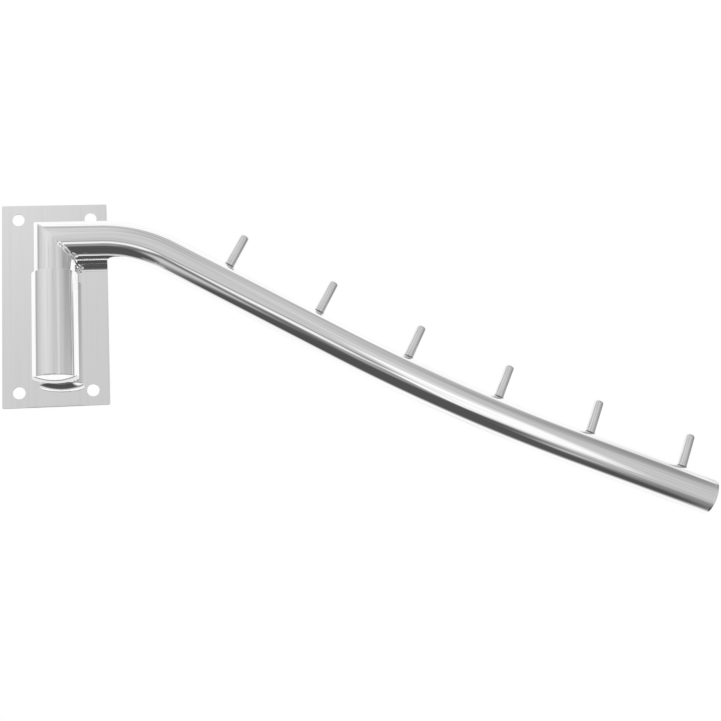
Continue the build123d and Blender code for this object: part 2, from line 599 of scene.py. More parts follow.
@dataclass
class WallBracket:
    """Plate, pivot sleeve, its two weld beads and the plug below: everything fixed to the wall."""

    record: dict
    corner_radius: float = 0.8
    corner_steps: int = 8
    front_edge: float = 0.2
    back_edge: float = 0.15
    hole_edge: float = 0.25
    outline_step: float = 0.5
    face_rings: int = 4          # from a screw hole's edge to the border of its quarter
    rim_edge: float = 0.35
    sleeve_wall: float = 1.2
    cap_rim: float = 0.4
    cap_slope: float = 20.0
    cap_slope_width: float = 0.5
    bead_gap: float = 1.2        # unfilled root beside the line where sleeve and plate touch
    bead_reach: float = 5.2      # edge of a bead on the sleeve
    bead_toe: float = 0.9        # further reach on the plate
    bead_pitch: float = 1.9      # from ripple to ripple
    bead_swell: float = 0.22
    bead_end: float = 2.5        # length over which it draws in at each end
    bead_taper: float = 0.25     # share of its reach that is left at the very ends
    toe_ripple: float = 0.2      # share that toe and swell lose between ripples
    swell_ripple: float = 0.6
    bead_rows: int = 240
    bead_columns: tuple[int, int] = (12, 7)      # of its outer face and along the sleeve

    def __post_init__(self) -> None:
        """Reads the bracket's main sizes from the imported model."""
        self.low, self.high = node_box("wall_plate")
        holes = next(mount for mount in self.record["mounts"] if mount["kind"] == "bolt_pattern")["dims"]
        self.hole_radius = holes["hole_r_mm"]
        self.hole_at = np.array([holes["spacing_x_mm"], holes["spacing_y_mm"]]) / 2
        low, high = node_box("pivot_sleeve")
        self.sleeve_radius = (high[0] - low[0]) / 2
        self.bore = self.sleeve_radius - self.sleeve_wall
        self.sleeve_low, self.sleeve_top = low[2], high[2]
        self.axis = (low + high) / 2 * (1, 1, 0)
        self.cap_top = node_box("sleeve_bottom_cap")[1][2]

    def build(self) -> None:
        """Builds and dresses every piece of the bracket."""
        plate = PolishedChrome(
            "polished chrome plate", ("#fefefe", "#f9f9f9"), haze=Pattern(22.0, 22.0, 3.0),
            lines=Pattern(90.0, 1.6, 2.0), line_depth=0.008, back=PlatedBack()).material()
        tube = PolishedChrome("polished chrome sleeve", ("#fefefe", "#ededed")).material()
        weld = PlatedWeld("plated sleeve weld").material()
        # The tubes' edges stay white in front of the plate, so it is left out of what they mirror.
        add_piece("wall_plate", self.plate(), plate, Body.BRACKET, Slot.PLATE).visible_glossy = False
        add_piece("pivot_sleeve", [self.sleeve()], tube, Body.BRACKET, Slot.TUBE)
        add_piece("sleeve_bottom_cap", [self.bottom_cap()], tube, Body.BRACKET, Slot.TUBE)
        for side, name in ((-1, "sleeve_weld_left"), (1, "sleeve_weld_right")):
            add_piece(name, [self.bead(side)], weld, Body.BRACKET, Slot.WELD)

    def outline(self) -> tuple[Array, Array]:
        """A quarter of the plate's outline, from its right edge's middle to its upper edge's middle.

        Straight, a quarter circle, straight; points every outline step.

        Returns:
            Points and outward directions, each points by 2 (across, up).
        """
        inner = (self.high - self.low)[[0, 2]] / 2 - self.corner_radius
        up = np.linspace(0, inner[1], round(inner[1] / self.outline_step))[:, None]
        turn = np.linspace(0, np.pi / 2, self.corner_steps + 1)[1:-1, None]
        back = np.linspace(inner[0], 0, round(inner[0] / self.outline_step))[:, None]
        outward = np.concatenate([
            np.tile([1.0, 0.0], (len(up), 1)), np.hstack([np.cos(turn), np.sin(turn)]),
            np.tile([0.0, 1.0], (len(back), 1))])
        core = np.concatenate([
            np.hstack([np.full_like(up, inner[0]), up]), np.tile(inner, (len(turn), 1)),
            np.hstack([back, np.full_like(back, inner[1])])])
        return core + outward * self.corner_radius, outward

    def border(self, inset: float) -> Array:
        """Closed border of a quarter of the plate: its outline, moved in, and the plate's two middle lines.

        Args:
            inset: how far the outline is moved in.

        Returns:
            Array of points by 2 (across, up).
        """
        edge, outward = self.outline()
        edge = edge - inset * outward
        counts = np.round((self.high - self.low)[[0, 2]] / 2 / self.outline_step).astype(int)
        across = np.linspace([0, 0], edge[0], counts[0])[:-1]
        down = np.linspace(edge[-1], [0, 0], counts[1])[1:-1]
        return np.concatenate([across, edge, down])

    def hole_rays(self) -> Array:
        """Directions from a screw hole's middle to the points of its quarter's border."""
        ray = self.border(0) - self.hole_at
        return ray / np.linalg.norm(ray, axis=1, keepdims=True)

    def upright(self, flat: Array, depth: Array | float) -> Array:
        """Stands flat points (across, up) in the model at a depth."""
        middle = (self.low + self.high) / 2
        return gathered(flat[..., 0] + middle[0], depth, flat[..., 1] + middle[2])

    def face(self, depth: float, inset: float) -> list[Patch]:
        """One flat face of the plate, as four quarters.

        Each quarter is a fan of straight lines from the hole's edge to the quarter's border, mapped by its
        height and its place across.

        Args:
            depth: the face's place along Y.
            inset: how far its border lies inside the plate's outline.

        Returns:
            The four quarters.
        """
        rim = self.hole_at + self.hole_rays() * (self.hole_radius + self.hole_edge)
        share = np.linspace(0, 1, self.face_rings)[:, None, None]
        flat = rim * (1 - share) + self.border(inset) * share
        quarters = [grid_patch(self.upright(flat * sign, depth), wrap_columns=True, smooth=False)
                    for sign in QUARTERS]
        return [quarter._replace(spread=quarter.points[quarter.faces][..., [2, 0]]) for quarter in quarters]

    def hole_wall(self, sign: Array) -> Patch:
        """Wall of one screw hole: a profile with rounded ends, carried round at the faces' own directions.

        Args:
            sign: the hole's quarter.

        Returns:
            The wall, open at both ends.
        """
        wide, front, back = self.hole_radius + self.hole_edge, self.low[1], self.high[1]
        profile = softened([
            (wide, front, 0), (self.hole_radius, front, self.hole_edge),
            (self.hole_radius, back, self.hole_edge), (wide, back, 0)], closed=False, guard=0)
        flat = self.hole_at + self.hole_rays() * profile[:, :1, None]
        return grid_patch(self.upright(flat * sign, profile[:, 1:]), wrap_columns=True)

    def plate(self) -> list[Patch]:
        """Two faces, four hole walls and a rounded edge carried round the outline.

        Returns:
            The patches of the closed surface.
        """
        edge, outward = self.outline()
        front, back = self.low[1], self.high[1]
        profile = softened([
            (self.front_edge, front, 0), (0, front, self.front_edge), (0, back, self.back_edge),
            (self.back_edge, back, 0)], closed=False, guard=0)
        rings = []
        for sign in QUARTERS:
            order = sign.prod()         # every other quarter runs the other way
            rings.append((edge[::order] - profile[:, :1, None] * outward[::order]) * sign)
        band = self.upright(np.concatenate(rings, axis=1), profile[:, 1:])
        holes = [self.hole_wall(sign) for sign in QUARTERS]
        faces = self.face(front, self.front_edge) + self.face(back, self.back_edge)
        return faces + holes + [grid_patch(band, wrap_columns=True)]

    def sleeve(self) -> Patch:
        """Open tube with rounded rims: a closed profile turned about the pivot axis.

        Returns:
            The closed surface.
        """
        profile = softened([
            (self.sleeve_radius, self.sleeve_low, SEAM), (self.sleeve_radius, self.sleeve_top, self.rim_edge),
            (self.bore, self.sleeve_top, self.rim_edge), (self.bore, self.sleeve_low, 0)], closed=True)
        return grid_patch(turned(profile) + self.axis, wrap_rows=True, wrap_columns=True)

    def bottom_cap(self) -> Patch:
        """Low domed plug in the sleeve's lower end, with its crown downwards."""
        plug = CrownedPlug(self.sleeve_radius, self.bore, self.cap_rim, self.cap_top - self.sleeve_low,
                           self.cap_slope, self.cap_slope_width)
        return plug.patch(Place(self.axis + (0, 0, self.sleeve_low), np.diag([1.0, -1.0, -1.0])))

    def bead(self, side: int) -> Patch:
        """Weld bead between sleeve and plate.

        Along the bead the outer face swells by a rectified sine, one ripple to each pitch, and draws in round
        at both ends. Across it runs from the toe on the plate to the edge on the sleeve, then back along the
        sleeve's round and the plate.

        Args:
            side: -1 for the left bead, 1 for the right.

        Returns:
            The closed surface.
        """
        low, high = (corner[2] for corner in node_box("sleeve_weld_left"))
        along = np.linspace(0, high - low, self.bead_rows)[:, None]
        fall = 1 - np.abs(np.sin(np.pi * along / self.bead_pitch))
        end = np.sqrt(np.clip(np.minimum(along, high - low - along) / self.bead_end, 0, 1))
        taper = self.bead_taper + (1 - self.bead_taper) * end
        reach = self.bead_gap + (self.bead_reach - self.bead_gap) * taper
        toe = reach + self.bead_toe * end * (1 - self.toe_ripple * fall)
        rise = self.sleeve_radius - np.sqrt(self.sleeve_radius**2 - reach**2)
        share = np.linspace(0, 1, self.bead_columns[0])[None, :]
        swell = self.bead_swell * end * (1 - self.swell_ripple * fall) * np.sin(np.pi * share)
        slant = np.hypot(toe - reach, rise)
        outer = gathered(toe + (reach - toe) * share + swell * rise / slant,
                         rise * share + swell * (toe - reach) / slant)
        across = reach + (self.bead_gap - reach) * np.linspace(0, 1, self.bead_columns[1] + 1)[None, 1:]
        inner = gathered(across, self.sleeve_radius - np.sqrt(self.sleeve_radius**2 - across**2))
        foot = gathered(self.bead_gap, np.zeros_like(along))
        section = np.concatenate([outer, inner, foot], axis=1)
        points = gathered(
            self.axis[0] + side * section[..., 0], self.low[1] - section[..., 1], low + along)
        first, last = (np.broadcast_to(row.mean(axis=0), row.shape)[None] for row in points[[0, -1]])
        return grid_patch(np.concatenate([first, points, last]), wrap_columns=True)


@dataclass
class Swivel:
    """Nylon washer that the arm turns on."""

    edge: float = 0.3

    def build(self) -> None:
        """Builds and dresses the washer: a flat disc with rounded edges, turned about the pivot axis."""
        low, high = node_box("thrust_washer")
        radius = (high[0] - low[0]) / 2
        profile = softened([
            (0, low[2], 0), (radius, low[2], self.edge), (radius, high[2], self.edge), (0, high[2], 0)],
            closed=False)
        disc = grid_patch(turned(profile) + (low + high) / 2 * (1, 1, 0), wrap_columns=True)
        add_piece("thrust_washer", [disc], MouldedNylon().material(), Body.SWIVEL, Slot.NYLON)


@dataclass(frozen=True)
class ArmPath:
    """Axis of the arm: level, bent down, straight, gently curved back up, straight to the end."""

    elbow: Array
    length: float
    level_run: float = 23.3
    bend_radius: float = 63.0
    bend_angle: float = 29.9
    slope_run: float = 95.0
    curve_radius: float = 1005.0
    curve_angle: float = 7.2

    def stretches(self) -> list[tuple[float, float]]:
        """Length and curvature of each stretch but the last, which has no end of its own."""
        bend, curve = np.radians([self.bend_angle, self.curve_angle])
        return [(self.level_run, 0.0), (bend * self.bend_radius, -1 / self.bend_radius),
                (self.slope_run, 0.0), (curve * self.curve_radius, 1 / self.curve_radius)]

    def at(self, distance: Array) -> tuple[Array, Array]:
        """Points and headings at distances from the elbow.

        A straight stretch adds its length times the heading's cosine and sine; an arc adds the difference of
        the heading's sine and cosine divided by the curvature.

        Args:
            distance: any array of distances; those before the elbow run straight back.

        Returns:
            Points (one more axis of 3) and headings in radians.
        """
        left = np.asarray(distance, float)
        heading, across, up = np.zeros_like(left), np.zeros_like(left), np.zeros_like(left)
        least = -np.inf
        for length, curvature in [*self.stretches(), (np.inf, 0.0)]:
            here = np.clip(left, least, length)
            if curvature:
                after = heading + curvature * here
                across = across + (np.sin(after) - np.sin(heading)) / curvature
                up = up - (np.cos(after) - np.cos(heading)) / curvature
                heading = after
            else:
                across, up = across + here * np.cos(heading), up + here * np.sin(heading)
            left, least = left - length, 0.0
        return self.elbow + gathered(across, 0.0, up), heading

    def station(self, distance: float) -> Place:
        """Frame on the axis: X along it, Y to the wall and Z square to both, upwards.

        Args:
            distance: how far along the arm from the elbow.

        Returns:
            The place.
        """
        point, heading = self.at(np.array(distance))
        cosine, sine = np.cos(heading), np.sin(heading)
        return Place(point, np.array([[cosine, 0, sine], [0, 1, 0], [-sine, 0, cosine]]))


@dataclass
class SwingArm:
    """Spindle, bent tube, end plug, pegs and their weld collars: everything that swings."""

    nodes: dict
    tube_wall: float = 1.2
    weld_width: float = 1.8      # of the elbow's weld bead on each side of the mitre
    dressed_width: float = 0.4   # where it is ground away and polished, at the corner's very outside
    front_width: float = 0.9     # and at the front
    front_at: tuple[float, float] = (-0.95, -0.55)   # where it widens, from -1 outside the corner to 1 inside
    bead_at: tuple[float, float] = (-0.15, 0.2)
    ripples_at: tuple[float, float] = (0.0, 0.35)
    weld_ripples: int = 23
    weld_ripple_height: float = 0.42
    uneven: tuple[float, float] = (0.37, 0.6)        # pace and lead of a second wave across the ripples
    blend_rings: int = 17        # from the mitre to the edge of the blend
    level_rings: int = 4
    bend_rings: tuple[int, ...] = (48, 6, 72, 3)     # along the bend, the slope, the curve and the end
    end_rings: int = 4           # of the rounding at the end
    bore_thinning: int = 4       # the bore has one ring for so many outside
    foot_edge: float = 0.25
    foot_run: float = 4.0        # straight part above the spindle's foot
    first_peg: float = 84.8      # along the arm from the elbow
    peg_spacing: float = 50.0
    end_run: float = 16.6
    peg_radius: float = 2.4
    peg_height: float = 17.5
    peg_tip: float = 1.5         # rounding of a peg's tip
    peg_crown: float = 0.3       # what is left of the dome inside it
    peg_tip_steps: int = 10
    peg_foot_rings: int = 3
    peg_even: float = 1.0        # height above the tube from which its rings are level
    peg_around: int = 96
    collar_heights: tuple[float, float] = (0.425, 0.55)      # between its ripples and on them
    collar_width: float = 0.45
    collar_spread: float = 0.4   # further reach down the tube's sides
    collar_ripple: float = 0.12  # further reach at its ripples
    collar_ripples: int = 11
    collar_hollow: float = 1.7   # power by which its height falls towards the toe
    collar_sink: float = 0.03    # of its underside
    collar_rings: int = 10
    collar_around: int = 132
    cap_rim: float = 1.4
    cap_slope: float = 8.6
    cap_slope_width: float = 2.5
    cap_spigot: float = 5.0

    def __post_init__(self) -> None:
        """Reads the arm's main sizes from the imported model."""
        low, high = node_box("spindle_tube")
        self.radius = (high[0] - low[0]) / 2
        self.bore = self.radius - self.tube_wall
        self.foot = low[2]
        middle = (low + high) / 2
        elbow = np.array([middle[0], middle[1], high[2] - self.radius])
        self.peg_count = sum(name.startswith("peg_") and name[4:].isdigit() for name in self.nodes)
        length = self.first_peg + (self.peg_count - 1) * self.peg_spacing + self.end_run
        self.path = ArmPath(elbow, length)

    def build(self) -> None:
        """Builds and dresses every piece of the arm."""
        tube = PolishedChrome("polished chrome tube", mitre=tuple(self.path.elbow.tolist())).material()
        rod = PolishedChrome(
            "polished chrome rod", ("#f2f2f2", "#cfcfcf"), (0.06, 0.12), Pattern(6.0, 6.0, 3.0),
            Pattern(14.0, 0.8, 2.0), line_depth=0.05).material()
        weld = PlatedWeld("plated peg weld", ("#8f8e8b", "#565553")).material()
        add_piece("spindle_tube", [self.spindle()], tube, Body.ARM, Slot.TUBE)
        add_piece("arm_tube", [self.tube()], tube, Body.ARM, Slot.TUBE)
        add_piece("arm_end_cap", [self.end_cap()], tube, Body.ARM, Slot.TUBE)
        for number in range(1, self.peg_count + 1):
            place = self.path.station(self.first_peg + (number - 1) * self.peg_spacing)
            add_piece(f"peg_{number}", [self.peg(place)], rod, Body.ARM, Slot.PEG)
            add_piece(f"peg_weld_{number}", [self.collar(place)], weld, Body.ARM, Slot.WELD)

    def blend_width(self, inside: Array) -> Array:
        """Width of the weld beside the mitre: fine outside the corner, wider in front, a bead inside it."""
        width = self.dressed_width + (self.front_width - self.dressed_width) * ease(inside, *self.front_at)
        return width + (self.weld_width - self.front_width) * ease(inside, *self.bead_at)

    def mitred_radius(self, inside: Array, front: Array, left: Array) -> Array:
        """Radius of a tube near the mitre.

        The tubes meet in a ridge outside the corner, ground round, and in a valley inside it, filled by a
        rippled bead. Within the blend's width the radius changes by half that width times the square of what
        is left to the edge of the blend, inwards on the ridge and outwards in the valley, so that both tubes
        run into each other without a kink; the ripples are sines of the angle round the mitre.

        Args:
            inside: 1 at the corner's inside, -1 at its outside, by angle round the tube.
            front: -1 at the front, 1 at the wall side, by the same angles.
            left: share of the blend that is left to its edge, 1 at the mitre, by row.

        Returns:
            Radius on the grid of rows by angles.
        """
        angle = np.arctan2(front, inside)
        pace, lead = self.uneven
        ripple = np.sin(self.weld_ripples * angle) * np.sin(pace * self.weld_ripples * angle + lead)
        bead = self.weld_ripple_height * ease(inside, *self.ripples_at) * ripple
        return self.radius + (0.5 * self.blend_width(inside) * inside + bead) * left**2

    def spindle(self) -> Patch:
        """Upright tube: rings from its foot to the mitre and back inside.

        On the mitre the height is the elbow's minus the radius times the angle's cosine.

        Returns:
            The closed surface.
        """
        angle, top = full_turn(), self.path.elbow[2]
        cosine = np.cos(angle)
        left = np.linspace(0, 1, self.blend_rings)[:, None]
        blend = (1 - left) * self.blend_width(cosine)
        radius = self.mitred_radius(cosine, np.sin(angle), left)
        mitred = gathered(radius, top - radius * cosine - blend)
        base = softened([
            (self.bore, self.foot, self.foot_edge), (self.radius, self.foot, self.foot_edge),
            (self.radius, self.foot + self.foot_run, 0)], closed=False)
        low = np.broadcast_to(base[:, None], (len(base), len(angle), 2))
        inner = gathered(self.bore, top - self.bore * cosine)[None]
        points = turned(np.concatenate([low, mitred, inner])) + self.path.elbow * (1, 1, 0)
        return grid_patch(points, wrap_rows=True, wrap_columns=True)

    def along_arm(self, radius: Array, distance: Array, angle: Array) -> Array:
        """Carries rings along the arm.

        A point is the axis point plus the radius times (cosine towards the wall, sine square to the axis).

        Args:
            radius: by ring and angle.
            distance: from the elbow, by ring and angle.
            angle: round the tube.

        Returns:
            Array of rings by angles by 3.
        """
        point, heading = self.path.at(distance)
        up = gathered(-np.sin(heading), 0.0, np.cos(heading))
        wall = np.array([0.0, 1.0, 0.0])
        return point + radius[..., None] * (np.cos(angle)[:, None] * wall + np.sin(angle)[:, None] * up)

    def tube(self) -> Patch:
        """Bent tube: rings from the mitre to its rounded end and back inside.

        Returns:
            The closed surface.
        """
        angle, path = full_turn(), self.path
        sine, even = np.sin(angle), np.ones((1, len(angle)))
        left = np.linspace(1, 0, self.blend_rings)[:, None]
        near = self.mitred_radius(-sine, np.cos(angle), left)
        start = (1 - left) * self.blend_width(-sine) - near * sine
        share = np.linspace(0, 1, self.level_rings + 1)[1:, None]
        level = start[-1:] * (1 - share) + path.level_run * share
        ends = path.level_run + np.cumsum([length for length, _ in path.stretches()[1:]])
        marks = [path.level_run, *ends, path.length - SEAM]
        spans = zip(marks, marks[1:], self.bend_rings)
        rest = np.concatenate([np.linspace(a, b, count + 1)[1:] for a, b, count in spans])
        quarter = np.linspace(0, np.pi / 2, self.end_rings + 1)[1:]
        inner = np.array([path.length, *rest[::-self.bore_thinning], path.level_run])
        distance = np.concatenate([rest, path.length - SEAM * (1 - np.sin(quarter)), inner])[:, None] * even
        radius = np.concatenate([
            np.full(len(rest), self.radius), self.radius - SEAM * (1 - np.cos(quarter)),
            np.full(len(inner), self.bore)])[:, None] * even
        return grid_patch(self.along_arm(
            np.concatenate([near, np.full(level.shape, self.radius), radius, self.bore * even]),
            np.concatenate([start, level, distance, -self.bore * sine[None]]), angle),
            wrap_rows=True, wrap_columns=True)

    def end_cap(self) -> Patch:
        """Thin domed plug in the arm's end.

        Returns:
            The closed surface.
        """
        end = self.path.station(self.path.length)
        plug = CrownedPlug(self.radius, self.bore, self.cap_rim, self.cap_spigot, self.cap_slope,
                           self.cap_slope_width)
        return plug.patch(Place(end.origin, np.array([end.axes[2], -end.axes[1], end.axes[0]])))

    def seat(self, radius: Array, angle: Array) -> Array:
        """Height of the tube's round above its axis at a radius and angle about a peg."""
        return np.sqrt(self.radius**2 - (radius * np.sin(angle)) ** 2)

    def peg(self, place: Place) -> Patch:
        """Round rod with a rounded tip; its foot follows the tube's round.

        Args:
            place: frame on the arm's axis, Z along the peg.

        Returns:
            The closed surface.
        """
        angle, tip = full_turn(self.peg_around), self.radius + self.peg_height
        spread = np.linspace(0, self.peg_radius, self.peg_foot_rings)[:, None]
        foot = gathered(spread, self.seat(spread, angle))
        upper = softened([
            (self.peg_radius, self.radius + self.peg_even, 0),
            (self.peg_radius, tip - self.peg_crown, self.peg_tip), (0, tip, 0)],
            closed=False, steps=self.peg_tip_steps)
        rings = np.concatenate([foot, np.broadcast_to(upper[:, None], (len(upper), len(angle), 2))])
        return grid_patch(place.put(turned(rings, len(angle))), wrap_columns=True)

    def collar(self, place: Place) -> Patch:
        """Weld collar round a peg's foot.

        From the peg outwards its height above the tube falls with a power of what is left to the toe; height
        and toe swell by cosines round the peg, one for each ripple, and the toe reaches further down the
        tube's sides. It closes underneath along the tube's round.

        Args:
            place: frame on the arm's axis, Z along the peg.

        Returns:
            The closed surface.
        """
        angle = full_turn(self.collar_around)
        ripple = 0.5 + 0.5 * np.cos(self.collar_ripples * angle)
        width = self.collar_width + self.collar_spread * np.sin(angle) ** 2 + self.collar_ripple * ripple
        height = self.collar_heights[0] + (self.collar_heights[1] - self.collar_heights[0]) * ripple
        share = np.linspace(0, 1, self.collar_rings)[:, None]
        radius = self.peg_radius + width * share
        seat = self.seat(radius, angle)
        outer = gathered(radius, seat + height * (1 - share) ** self.collar_hollow)
        under = gathered(radius, seat - self.collar_sink)[[-1, 0]]
        points = turned(np.concatenate([outer, under]), len(angle))
        return grid_patch(place.put(points), wrap_rows=True, wrap_columns=True)


@dataclass(frozen=True)
class Card:
    """Soft-edged card or lamp in front of the object, by directions in degrees."""

    light: float
    turn: tuple[float, float] = (-360.0, 360.0)
    rise: tuple[float, float] = (-180.0, 180.0)
    soft: tuple[float, float] = (10.0, 10.0)     # width of its upright and its level edges
    lean: float = 0.0                            # degrees to the right for each degree of rise

    def over(self, light: Array, rise: Array, turn: Array) -> Array:
        """Lays the card over what is behind it: its cover is the product of eased steps at its four edges.

        Args:
            light: how bright it is behind.
            rise: degrees above the horizon.
            turn: degrees to the right of straight ahead.

        Returns:
            How bright it is with the card.
        """
        cover = 1.0
        for way, edges, soft in ((turn - self.lean * rise, self.turn, self.soft[0]),
                                 (rise, self.rise, self.soft[1])):
            cover = cover * step(way, edges[0], soft) * (1 - step(way, edges[1], soft))
        return light * (1 - cover) + self.light * cover


@dataclass(frozen=True)
class Glow:
    """Light thrown on the sweep in front of the object, or shade where it is negative."""

    light: float
    turn: float
    rise: float
    spread: tuple[float, float]

    def over(self, light: Array, rise: Array, turn: Array) -> Array:
        """Adds the glow to the light at directions: a bell curve of both."""
        away = ((turn - self.turn) / self.spread[0]) ** 2 + ((rise - self.rise) / self.spread[1]) ** 2
        return light + self.light * np.exp(-away)


def full_cover(spots: Array) -> Array:
    """One for each spot: white where it is a card's light, and dense where it is its cover."""
    return np.ones(len(spots))


@dataclass
class Studio:
    """Plain white studio: pale floor, soft lamps, camera, and grey cards in front that the chrome mirrors."""

    frame_pixels: float = 721.0
    focal_pixels: float = 1081.4     # focal length in pixels of that frame
    sensor: float = 36.0
    clip_start: float = 10.0
    camera_at: tuple[float, float, float] = (77.71, -536.09, -129.37)
    yaw: float = 7.68
    pitch: float = -10.08
    roll: float = -3.49
    floor_depth: float = 960.0
    floor_radius: float = 2200.0
    floor_tones: tuple[str, str] = ("#f2f2f1", "#efefee")
    floor_mottle: float = 60.0
    floor_roughness: float = 0.9
    floor_fade: float = 864.0        # distance from the origin at which it begins to fade
    floor_rings: int = 24
    floor_around: int = 96
    room_light: float = 0.6
    lamps: tuple[tuple[str, tuple[float, float, float]], ...] = (
        ("key lamp", (-900.0, -1300.0, 1300.0)), ("fill lamp", (1300.0, -900.0, 900.0)))
    lamp_watts: float = 9.0
    lamp_width: float = 1200.0
    card_distance: float = 900.0
    card_turns: int = 480            # facets round the grey cards, and rings out to their border
    card_rings: int = 316
    card_angle: float = 126.0        # from straight ahead to that border
    cards_top: float = 81.3          # how far the cards reach up, down, left and right of straight ahead
    cards_bottom: float = 108.0
    cards_left: float = 101.5
    cards_right: float = 119.0
    card_edge: float = 6.0           # softness of their border, and of its lower part
    card_lower_edge: float = 23.0
    sweep_light: float = 0.565
    cards_and_lamps: tuple[Card | Glow, ...] = (
        Glow(0.185, -47, 25, (27, 32)),                             # wash on the left of the sweep
        Glow(0.07, -24, 27, (13, 11)),
        Glow(0.06, -22, 52, (16, 16)),
        Glow(0.08, 85, 10, (40, 30)),
        Glow(-0.04, 0, 75, (70, 30)),
        Glow(0.11, 15.3, 14, (7.6, 8)),                             # spill above the window
        Glow(0.1, 9, 28, (6, 8)),
        Card(0.27, (43.5, 110), (14.7, 47.5), (40, 40)),            # dark flag, upper right
        Card(0.19, (-44, -5.2), (-60, -12.4), (10.4, 10.4)),        # dusk under the sweep
        Card(0.246, rise=(-180, -52.3), soft=(10, 18.9)),           # grey floor on the right
        Card(1.0, (0.5, 21.5), (-35.4, 6), (6.4, 12), 0.087),       # window
        Card(0.318, (-27, -6.8), (-55, -31), (8, 7)),
        Card(0.92, (-33, -10.6), (-28.8, -16.3), (8, 6)),           # strip lamps
        Card(1.0, (-9.6, -2.5), (-43, -20.9), (5, 5)),
        Card(0.085, (-360, 5.7), (-180, -42.6), (24, 10)),          # dark floor
        Card(0.085, rise=(-180, -72), soft=(10, 16)),
        Glow(0.37, 3.2, -60, (9, 6)),
        Card(1.0, (85, 360), (24.5, 180), (14, 14)),                # bright wall on the right
        Card(0.36, (52, 125), (-40, 3), (34, 12)),                  # dark flag that the pegs show
    )
    rim_shade: tuple[float, float] = (0.24, 0.05)    # at the cards' upright and level borders
    rim_width: float = 7.0
    fold_depth: float = 0.05         # of soft folds that run across the sweep
    fold_height: float = 17.0
    fold_lean: float = 0.09
    fold_rise: tuple[float, float] = (22.0, 34.0)       # where the folds begin, and are full
    slats_from: tuple[float, float] = (8.0, -8.0)       # dark slats behind the plate's front, a painted dark reflection in the arm's underside, across and up
    slats_to: tuple[float, float] = (25.5, 17.0)
    slat_pitch: float = 0.3
    slat_size: tuple[float, float] = (0.31, 0.078)      # how far a slat reaches back, and rises on the way
    low_from: tuple[float, float] = (-21.0, -69.0)      # dark card low in front of the plug, across and up
    low_to: tuple[float, float] = (11.0, -45.3)
    low_soft: float = 3.0            # how wide its edges fade out
    low_distance: float = 36.0
    low_lines: int = 33
    dark_light: float = 0.075
    band_top: float = 1.2            # painted reflection: white band under the plug's front, above its lowest point
    band_drops: tuple[float, float, float] = (0.0, 1.1, 1.35)           # the last part is a dark hem
    band_lines: int = 37
    foot_heights: tuple[float, ...] = (-48.3, -46.8, -45.8, -40.5)      # bands of painted light that stand for the plate's foot in mirrors
    foot_lights: tuple[float, ...] = (0.16, 0.16, 0.85, 0.75)
    foot_depth: float = 0.05         # behind the plate's front

    def build(self) -> None:
        """Builds world, floor, lamps, cards and camera."""
        bpy.context.scene.view_settings.view_transform = "Standard"
        self.world()
        self.floor()
        for name, at in self.lamps:
            self.lamp(name, at)
        self.cards()
        self.small_cards()
        self.camera()

    def camera(self) -> None:
        """Sets the camera, turned by yaw about Z, by pitch about its X, then rolled about its sight line."""
        yaw, pitch, roll = (Matrix.Rotation(np.radians(angle), 3, axis)
                            for angle, axis in ((self.yaw, "Z"), (self.pitch, "X"), (self.roll, "Y")))
        right, ahead, up = np.array(roll @ pitch @ yaw)
        lens = bpy.data.cameras.new("camera")
        lens.sensor_width = self.sensor
        lens.lens = self.sensor * self.focal_pixels / self.frame_pixels
        lens.clip_start = self.clip_start * MM
        camera = add_object("camera", lens)
        Place(np.array(self.camera_at), np.stack([right, up, -ahead])).stand(camera)
        bpy.context.scene.camera = camera

    def lamp(self, name: str, at: tuple[float, float, float]) -> None:
        """Adds a large soft lamp that points at the object and is left out of mirrors, as cards stand for it.

        Args:
            name: its name.
            at: where it stands.
        """
        light = bpy.data.lights.new(name, "AREA")
        light.energy = self.lamp_watts
        light.size = self.lamp_width * MM
        back = np.array(at) / np.linalg.norm(at)
        side = np.cross([0, 0, 1], back)
        side = side / np.linalg.norm(side)
        lamp = add_object(name, light)
        lamp.visible_glossy = False
        Place(np.array(at), np.stack([side, np.cross(back, side), back])).stand(lamp)

    def world(self) -> None:
        """White to the camera and in mirrors; a soft even light for everything else."""
        world = bpy.data.worlds.new("studio")
        bpy.context.scene.world = world
        world.use_nodes = True
        tree = world.node_tree
        tree.nodes.clear()
        ray = add_node(tree, "ShaderNodeLightPath").outputs
        seen = ray["Is Camera Ray"]
        for kind in ("Is Glossy Ray", "Is Transmission Ray"):
            seen = add_node(tree, "ShaderNodeMath", {0: seen, 1: ray[kind]}, operation="MAXIMUM")
        light = add_node(tree, "ShaderNodeMapRange", {"Value": seen, "To Min": self.room_light})
        white = add_node(tree, "ShaderNodeBackground", {"Color": linear("#ffffff"), "Strength": light})
        add_node(tree, "ShaderNodeOutputWorld", {"Surface": white})

